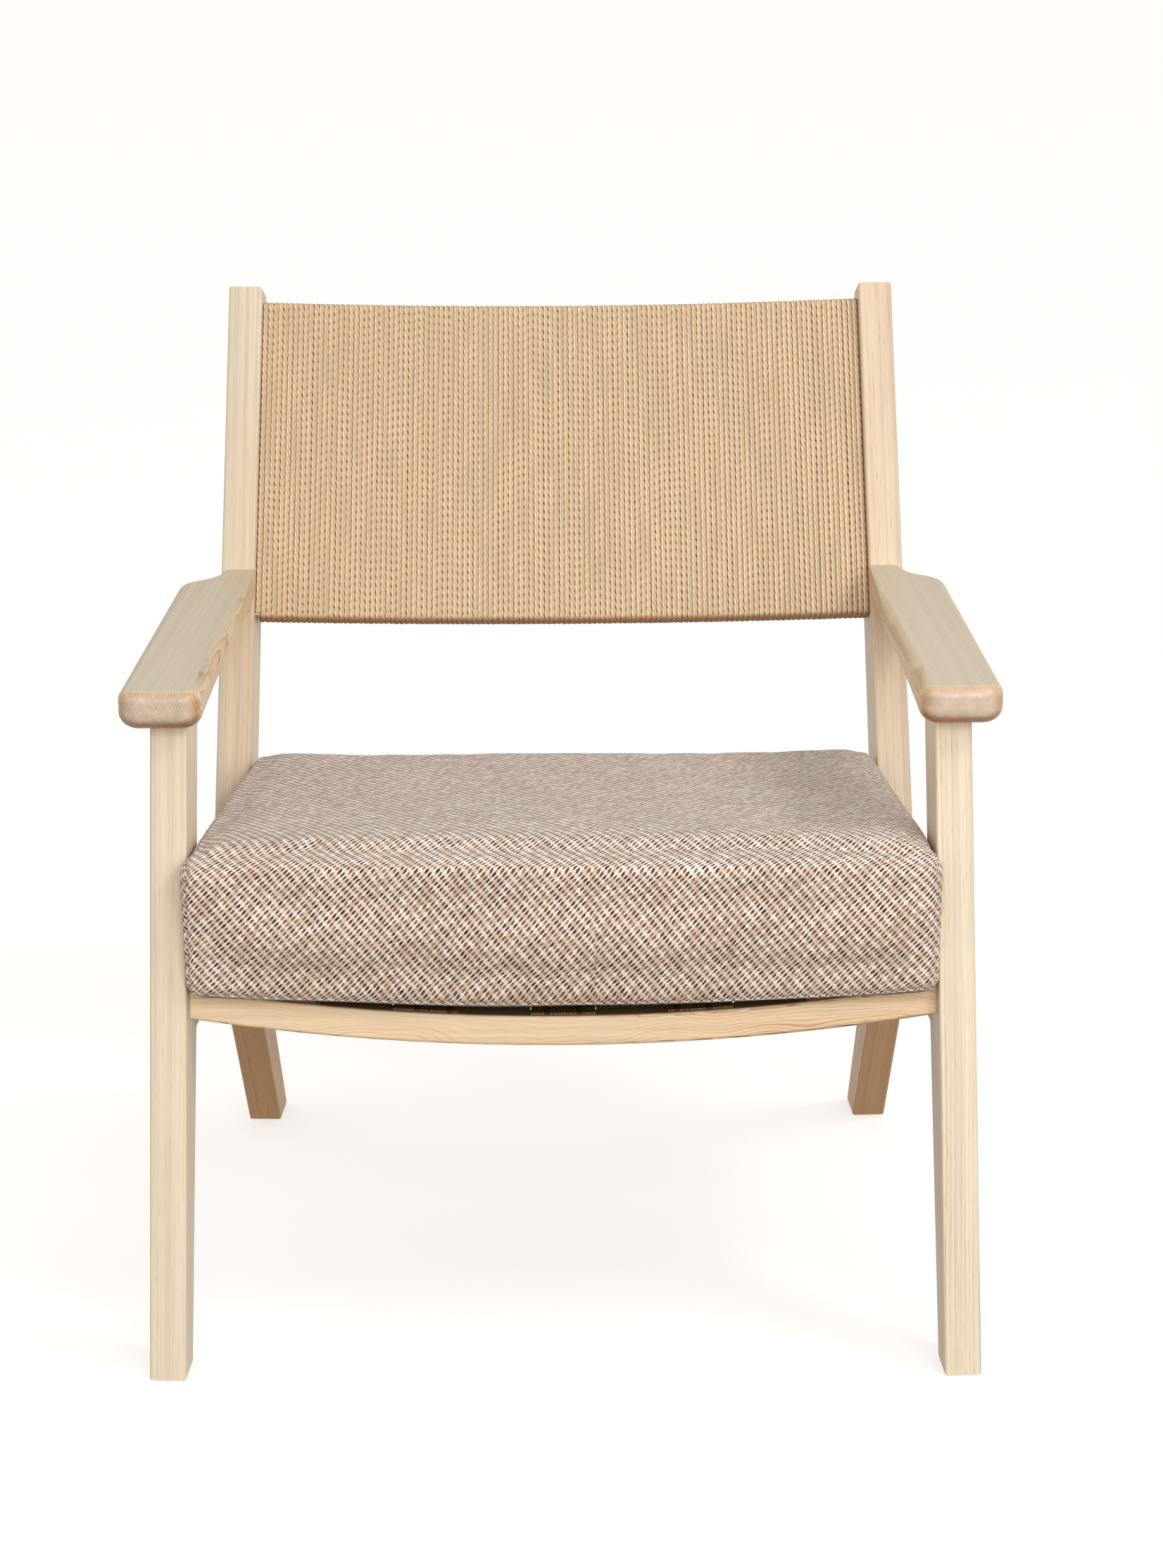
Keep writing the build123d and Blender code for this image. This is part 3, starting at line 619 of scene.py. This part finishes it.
def build_cord():
    rng = np.random.default_rng(11)
    loop = wound_loop()
    n = len(loop)
    step_length = np.linalg.norm(np.roll(loop[:, :2], -1, 0) - loop[:, :2], axis=1)
    travel = np.concatenate([[0.0], np.cumsum(step_length)])
    total = travel[-1]
    share = travel[:-1] / total
    # the cord steps to the next place as it passes under the bottom rail
    sidestep = smooth(0.945, 1.0, share)
    jitter = rng.normal(0.0, 0.014, TURNS + 1)
    jitter[[0, -1]] = 0.0
    turn = np.repeat(np.arange(TURNS), n)
    where = np.tile(np.arange(n), TURNS)
    slot = turn + 0.5 + jitter[turn] * (1 - sidestep[where]) + (1 + jitter[turn + 1]) * sidestep[where]
    place = -1.0 + 2.0 * np.minimum(slot, TURNS - 0.5) / TURNS
    y, z = loop[where, 0], loop[where, 1]
    bow = PANEL_BOW * (1 - place**2)
    depth = PANEL_ORIGIN[1] + (y + bow) * PANEL_BACK[1] + z * PANEL_UP[1] + BOW_BACK
    x = place * (inner_face(depth) - 0.0006)
    bow = BOW_BACK + PANEL_BOW * (1 - (x / PANEL_HALF) ** 2)
    # between the rails the strands never lie quite evenly
    mid = np.sin(np.clip(z / PANEL_HEIGHT, 0, 1) * math.pi)
    every = np.arange(0, len(turn), 8)
    wobble = noise_at(np.stack([turn[every] * 0.7, z[every] * 9.0, np.zeros(len(every))], 1))
    wobble = np.interp(np.arange(len(turn)), every, wobble)
    x = x + wobble * mid * 0.00022
    centre = (PANEL_ORIGIN[None] + x[:, None] * RIGHT
              + (y + bow)[:, None] * PANEL_BACK + z[:, None] * PANEL_UP)
    outward = loop[where, 2][:, None] * PANEL_BACK + loop[where, 3][:, None] * PANEL_UP
    length = turn * total + travel[where]
    drift = np.interp(length, np.linspace(0, TURNS * total, 900), rng.normal(0, 1, 900))
    twist = 2 * math.pi * length / LAY + np.cumsum(drift) * TWIST_DRIFT
    # profile: three lobes with sharp valleys
    angle = np.arange(PROFILE) * (2 * math.pi / PROFILE)
    lobe = np.abs(np.cos(1.5 * angle)) ** 0.75
    a = angle[None] + twist[:, None]
    flank = np.cos(a) ** 2
    # the valleys are deep at the flanks and nearly pressed flat in front
    radius = 1.0 - (0.03 + 0.25 * flank) * (1.0 - lobe[None])
    squeeze = 1.0 + 0.04 * drift[:, None]
    # pressed square against each other: the flanks meet and the fronts stay round
    wide = CORD_WIDE * radius * np.cos(a)
    deep = CORD_DEEP * radius * np.sign(np.sin(a)) * np.abs(np.sin(a)) ** 0.75 * squeeze
    points = centre[:, None] + wide[..., None] * RIGHT + deep[..., None] * outward[:, None]
    count = len(centre)
    index = np.arange(count * PROFILE).reshape(count, PROFILE)
    near, far = index[:-1], index[1:]
    quads = np.stack([near, np.roll(near, -1, 1), np.roll(far, -1, 1), far], -1).reshape(-1, 4)
    obj = make_mesh("paper_cord_winding", points.reshape(-1, 3), quads, paper_cord())
    tone = np.interp(length, np.linspace(0, TURNS * total, 2600), rng.random(2600))
    ply = np.stack([np.tile(lobe, count), np.repeat(tone, PROFILE), np.cos(a).ravel()], 1)
    layer = obj.data.attributes.new("ply", "FLOAT_VECTOR", "POINT")
    layer.data.foreach_set("vector", np.ascontiguousarray(ply, np.float32).ravel())
    k = np.arange(PROFILE)
    uv_u = np.stack([k, k + 1, k + 1, k], 1) / 4.0
    uv = np.empty((count - 1, PROFILE, 4, 2))
    uv[..., 0] = uv_u[None]
    uv[..., 0:2, 1] = length[:-1, None, None]
    uv[..., 2:4, 1] = length[1:, None, None]
    set_uv(obj, "along", uv.reshape(-1, 2))
    return obj


cord = build_cord()
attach(cord, "root")
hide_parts("paper_cord_back")


# ---- the seat cushion: a boxed cover, blown up by the cloth solver -------------------------------
CUSHION_FRONT = Y_FRONT + 0.052
CUSHION_LENGTH = 0.422
CUSHION_UNDER = 0.2918
CUSHION_THICK = 0.1142
CUSHION_ROUND = 0.0125
RIM_SAG = 0.0105            # the front edge hangs this much lower in the middle
KNEE_DROP = 0.0095          # the top's front edge is pressed down this much
KNEE_REACH = 0.070          # starting this far behind it
END_SWELL = 0.0042          # how far the ends swell sideways in front of the legs
FRONT_BULGE = 0.0072        # furthest it may stand past the side frames in front of the legs
SIDE_BULGE = 0.0030         # and under the arms
SWELL = 0.0055              # furthest a point of the cover may move out
SHRINK = 0.0006             # and in, where the foam holds it
SLIDE = 0.0015              # and along itself
STRAPS = (-0.212, -0.106, 0.0, 0.106, 0.212)
BESIDE = (0.0247, 0.0252, 0.0256, 0.0261)       # extra grid lines this far from a strap's middle
BEHIND = (0.0455, 0.0505, 0.0530)               # and this far behind the cushion's front
RAIL_FRONT = Y_FRONT + 0.080
FRAMES = 20                 # the cloth solver's steps


def ticks(half, step):
    """Grid lines from -half to half, closer together beside the seams at both ends."""
    edge = np.array((0.0, 0.0014, 0.0034, 0.0066, 0.0108, 0.016))
    inner = half - edge[-1]
    n = max(2, int(round(2 * inner / step)))
    body = np.linspace(-inner, inner, n + 1)[1:-1]
    return np.concatenate([-half + edge, body, (half - edge)[::-1]])


def with_lines(line, extra):
    """The grid line with these values added, and any neighbour closer than 1 mm to them left out."""
    far = [v for v in line if min(abs(v - e) for e in extra) > 0.0010]
    return np.array(sorted(far + list(extra)))


def cushion_grid():
    """A closed box of quads: its points, quads, each corner's place on the cloth, and its half size."""
    half = np.array((0.2876, CUSHION_LENGTH / 2, CUSHION_THICK / 2))
    lines = [ticks(h, 0.0062) for h in half]
    # finer where the underside drops behind the front rail and beside each strap
    beside = [at + side * off for at in STRAPS for side in (-1, 1) for off in BESIDE]
    lines[0] = with_lines(lines[0], beside)
    lines[1] = with_lines(lines[1], [at - half[1] for at in BEHIND])
    keys, points, quads, uvs = {}, [], [], []

    def vertex(i, j, k):
        key = (i, j, k)
        if key not in keys:
            keys[key] = len(points)
            points.append((lines[0][i], lines[1][j], lines[2][k]))
        return keys[key]

    last = [len(line) - 1 for line in lines]
    _, hy, hz = half

    def sheet(fixed, at, flip, cloth):
        a, b = [axis for axis in range(3) if axis != fixed]
        for i in range(last[a]):
            for j in range(last[b]):
                ring = [(i, j), (i + 1, j), (i + 1, j + 1), (i, j + 1)]
                if flip:
                    ring.reverse()
                corners = []
                for p, q in ring:
                    idx = [0, 0, 0]
                    idx[fixed], idx[a], idx[b] = at, p, q
                    v = vertex(*idx)
                    corners.append(v)
                    uvs.append(cloth(*points[v]))
                quads.append(corners)

    # front, top, back and underside are one strip of cloth; the two ends are cut apart from it
    sheet(1, 0, False, lambda x, y, z: (x, z - hz))
    sheet(2, last[2], False, lambda x, y, z: (x, y + hy))
    sheet(1, last[1], True, lambda x, y, z: (x, 2 * hy + hz - z))
    sheet(2, 0, True, lambda x, y, z: (x, -2 * hz - hy - y))
    sheet(0, last[0], False, lambda x, y, z: (y + 1.7, z + 0.31))
    sheet(0, 0, True, lambda x, y, z: (y + 2.9, z + 0.13))
    return np.array(points), np.array(quads), np.array(uvs), half


def deck_top(x, y):
    """Height of the scooped webbing's upper face."""
    return 0.267 + 0.0016 - DECK_SLOPE * (y - RAIL_FRONT) + 0.0202 * (x / 0.270) ** 2


def rim_drop(x):
    """How far the front edge hangs below the straight line between its ends."""
    return RIM_SAG * (1 - (x / 0.29) ** 2)


def under_limit(x, y):
    """Lowest the cover may hang: on the long straps, and a little lower between them.

    That stays clear of the cross straps. In the one open gap, from the front rail to the first cross
    strap, the cover sags deeper.
    """
    beside = np.min([np.abs(x - at) for at in STRAPS], axis=0)
    back = y - RAIL_FRONT
    open_gap = smooth(0.0224, 0.0246, back) * smooth(0.0430, 0.0385, back)
    return deck_top(x, y) + 0.0008 - (0.0004 + 0.0085 * open_gap) * smooth(0.0252, 0.0256, beside)


def cushion_rest(points, half):
    """The box with rounded edges, laid into the seat: narrower behind, sagging into the webbing."""
    core = half - CUSHION_ROUND
    inner = np.clip(points, -core, core)
    away = points - inner
    size = np.linalg.norm(away, axis=1, keepdims=True)
    shape = inner + away / np.maximum(size, 1e-9) * np.where(size > 1e-9, CUSHION_ROUND, 0.0)
    across, along, up = shape.T
    y = CUSHION_FRONT + (along + half[1])
    side = (inner_face(y) - 0.0011) / half[0]
    x = across * side
    low = 1 - (up + half[2]) / (2 * half[2])
    behind = along + half[1]
    flat = CUSHION_UNDER - DECK_SLOPE * behind
    settled = smooth(0.036, 0.052, behind) * smooth(0.0, 0.040, CUSHION_LENGTH - behind)
    drop = rim_drop(x) * (1 - settled) + np.maximum(flat - under_limit(x, y), 0.0) * settled
    z = flat + (up + half[2]) - low**2 * drop
    # the top rolls over towards the front, where knees press it
    z = z - KNEE_DROP * np.clip(1 - behind / KNEE_REACH, 0.0, 1.0) ** 2 * (1 - low)
    # and the ends swell past the legs where nothing holds them
    clear = np.clip((Y_FRONT + LEG_LEAN * z - 0.001 - y) / 0.020, 0.0, 1.0)
    x = x + np.sign(x) * END_SWELL * np.sqrt(clear) * np.abs(across / half[0]) ** 6
    return np.stack([x, y, z], 1)


def cushion_limits(points):
    """Keeps the cloth off the legs, posts, rails and straps.

    It may only bulge past the side frames' inner faces in front of the legs and, less, under the arms.
    """
    x, y, z = points.T.copy()
    front_leg = Y_FRONT + LEG_LEAN * z - 0.0035
    beside = inner_face(y) - 0.0004
    free = np.sqrt(np.clip((front_leg - y) / 0.012, 0.0, 1.0)) * FRONT_BULGE
    open_side = smooth(-0.150, -0.115, y) * (1 - smooth(0.02, 0.06, y)) * smooth(0.305, 0.318, z)
    limit = beside + free + open_side * SIDE_BULGE
    x = np.sign(x) * np.minimum(np.abs(x), limit)
    flat = CUSHION_UNDER - DECK_SLOPE * (y - CUSHION_FRONT)
    rim = flat - rim_drop(x) - 0.0006
    under = under_limit(x, y)
    overhang = 1 - smooth(0.036, 0.051, y - CUSHION_FRONT)
    z = np.maximum(z, np.where(y < RAIL_FRONT, rim, under * (1 - overhang) + rim * overhang))
    z = np.where(y < RAIL_FRONT, z, np.maximum(z, under))
    return np.stack([x, y, z], 1)


def vertex_normals(obj):
    out = np.empty(len(obj.data.vertices) * 3, np.float32)
    obj.data.vertices.foreach_get("normal", out)
    return out.reshape(-1, 3).astype(float)


def move_vertices(obj, points):
    obj.data.vertices.foreach_set("co", points.astype(np.float32).ravel())
    obj.data.update()


def blow_up(obj, rest):
    """Cloth with air pressure and no gravity, applied, with every point held near where it began."""
    outward = vertex_normals(obj)
    mod = obj.modifiers.new("air", "CLOTH")
    cloth = mod.settings
    cloth.quality = 6
    cloth.mass = 0.30
    cloth.use_pressure = True
    cloth.uniform_pressure_force = 4.0
    cloth.tension_stiffness = 22.0
    cloth.compression_stiffness = 22.0
    cloth.shear_stiffness = 12.0
    cloth.bending_stiffness = 3.0
    cloth.effector_weights.gravity = 0.0
    scene.frame_start, scene.frame_end = 1, FRAMES
    mod.point_cache.frame_start, mod.point_cache.frame_end = 1, FRAMES
    for number in range(1, FRAMES + 1):
        scene.frame_set(number)
    depsgraph = bpy.context.evaluated_depsgraph_get()
    done = obj.evaluated_get(depsgraph).data
    moved = np.empty(len(done.vertices) * 3, np.float32)
    done.vertices.foreach_get("co", moved)
    moved = moved.reshape(-1, 3).astype(float)
    obj.modifiers.remove(mod)
    scene.frame_set(1)
    shift = moved - rest
    lift = np.sum(shift * outward, axis=1, keepdims=True)
    slide = shift - lift * outward
    size = np.linalg.norm(slide, axis=1, keepdims=True)
    slide = slide * np.minimum(1.0, SLIDE / np.maximum(size, 1e-9))
    lift = np.where(lift > 0, SWELL * np.tanh(lift / SWELL), -SHRINK * np.tanh(-lift / SHRINK))
    return rest + lift * outward + slide


def build_cushion():
    points, quads, uvs, half = cushion_grid()
    rest = cushion_rest(points, half)
    obj = make_mesh("tweed_cushion", rest, quads, tweed())
    set_uv(obj, "weave", uvs)
    # how near each point lies to the two side seams
    gap_x = half[0] - np.abs(points[:, 0])
    other = np.minimum(half[1] - np.abs(points[:, 1]), half[2] - np.abs(points[:, 2]))
    seam = np.where(gap_x < 1e-7, other, gap_x)
    shape = blow_up(obj, rest)
    # the webbing grips the underside, which can't slide
    gripped = points[:, 2] < -half[2] + 0.001
    shape[gripped, :2] = rest[gripped, :2]
    # the cover is held in at the seams and stands up either side of them
    move_vertices(obj, shape)
    normals = vertex_normals(obj)
    groove = -0.0014 * np.exp(-(seam / 0.0011) ** 2)
    ridge = 0.0007 * np.exp(-((seam - 0.0042) / 0.0022) ** 2)
    pucker = 0.0007 * noise_at(shape * 95.0) * np.exp(-seam / 0.012)
    slack = 0.0010 * noise_at(shape * (9.0, 11.0, 14.0))
    shape = shape + normals * (groove + ridge + pucker + slack)[:, None]
    move_vertices(obj, cushion_limits(shape))
    subdivide = obj.modifiers.new("fine", "SUBSURF")
    subdivide.levels = subdivide.render_levels = 1
    return obj


cushion = build_cushion()
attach(cushion, "root")
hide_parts("seat_cushion", "cushion_foam")


# ---- floor, light and camera ---------------------------------------------------------------------
FLOOR_REACH = 40.0
SKY = (     # from straight down to straight up
    (0.0, (0.13, 0.075, 0.035)), (0.44, (0.26, 0.17, 0.09)), (0.53, (0.86, 0.81, 0.745)),
    (0.75, (0.76, 0.75, 0.73)), (1.0, (0.53, 0.535, 0.545)),
)
MIDDLE = (0.0, 0.0, 0.40)   # what the lamps are aimed at
CAMERA_PLACE = (0.016, -3.3676, 1.298)
YAW, PITCH, ROLL = math.radians(-0.01), math.radians(15.17), math.radians(-0.41)


def build_stage():
    g = Graph("floor_paper")
    grain = g.noise(g.place(), scale=180.0, detail=2.0)
    g.surface(g.mix(grain, (0.50, 0.49, 0.48), (0.52, 0.51, 0.50)), 0.9,
              (("Emission Color", (1.0, 0.975, 0.965, 1.0)), ("Emission Strength", 0.655),
               ("Specular IOR Level", 0.0)))
    corners = FLOOR_REACH * np.array([(-1.0, -1, 0), (1, -1, 0), (1, 1, 0), (-1, 1, 0)])
    floor = make_mesh("floor", corners, np.array([[0, 1, 2, 3]]), g.material, False)
    floor.visible_diffuse = False


def build_world():
    world = bpy.data.worlds.new("studio")
    scene.world = world
    world.use_nodes = True
    tree = world.node_tree
    tree.nodes.clear()
    coordinates = tree.nodes.new("ShaderNodeTexCoord")
    split = tree.nodes.new("ShaderNodeSeparateXYZ")
    tree.links.new(coordinates.outputs["Generated"], split.inputs[0])
    height = tree.nodes.new("ShaderNodeMath")
    height.operation = "MULTIPLY_ADD"
    height.inputs[1].default_value = height.inputs[2].default_value = 0.5
    tree.links.new(split.outputs[2], height.inputs[0])
    ramp = tree.nodes.new("ShaderNodeValToRGB")
    tree.links.new(height.outputs[0], ramp.inputs[0])
    while len(ramp.color_ramp.elements) < len(SKY):
        ramp.color_ramp.elements.new(0.5)
    for element, (position, colour) in zip(ramp.color_ramp.elements, SKY):
        element.position, element.color = position, (*colour, 1.0)
    background = tree.nodes.new("ShaderNodeBackground")
    tree.links.new(ramp.outputs[0], background.inputs[0])
    out = tree.nodes.new("ShaderNodeOutputWorld")
    tree.links.new(background.outputs[0], out.inputs[0])


def lamp(name, place, size, power, colour):
    data = bpy.data.lights.new(name, "AREA")
    data.shape = "RECTANGLE"
    data.size, data.size_y = size
    data.energy = power
    data.color = colour
    obj = bpy.data.objects.new(name, data)
    obj.location = place
    obj.rotation_euler = (Vector(MIDDLE) - Vector(place)).to_track_quat("-Z", "Y").to_euler()
    scene.collection.objects.link(obj)


def build_camera():
    data = bpy.data.cameras.new("camera")
    data.lens = 97.69
    data.sensor_width = 36.0
    data.clip_start, data.clip_end = 0.05, 200.0
    camera = bpy.data.objects.new("camera", data)
    scene.collection.objects.link(camera)
    forward = Vector((math.sin(YAW) * math.cos(PITCH), math.cos(YAW) * math.cos(PITCH), -math.sin(PITCH)))
    level = Vector((math.cos(YAW), -math.sin(YAW), 0.0))
    up = level.cross(forward)
    right = math.cos(ROLL) * level + math.sin(ROLL) * up
    top = -math.sin(ROLL) * level + math.cos(ROLL) * up
    camera.rotation_mode = "QUATERNION"
    camera.rotation_quaternion = Matrix((right, top, -forward)).transposed().to_quaternion()
    camera.location = CAMERA_PLACE
    scene.camera = camera


build_stage()
build_world()
lamp("front", (0.7, -3.6, 1.7), (2.6, 2.0), 74.0, (1.0, 0.985, 0.965))
lamp("key", (2.1, -1.3, 2.9), (0.8, 0.8), 26.0, (1.0, 0.98, 0.95))
build_camera()
scene.view_settings.view_transform = "Standard"
scene.view_settings.look = "None"
scene.view_settings.exposure = 0.0
scene.view_settings.gamma = 1.0
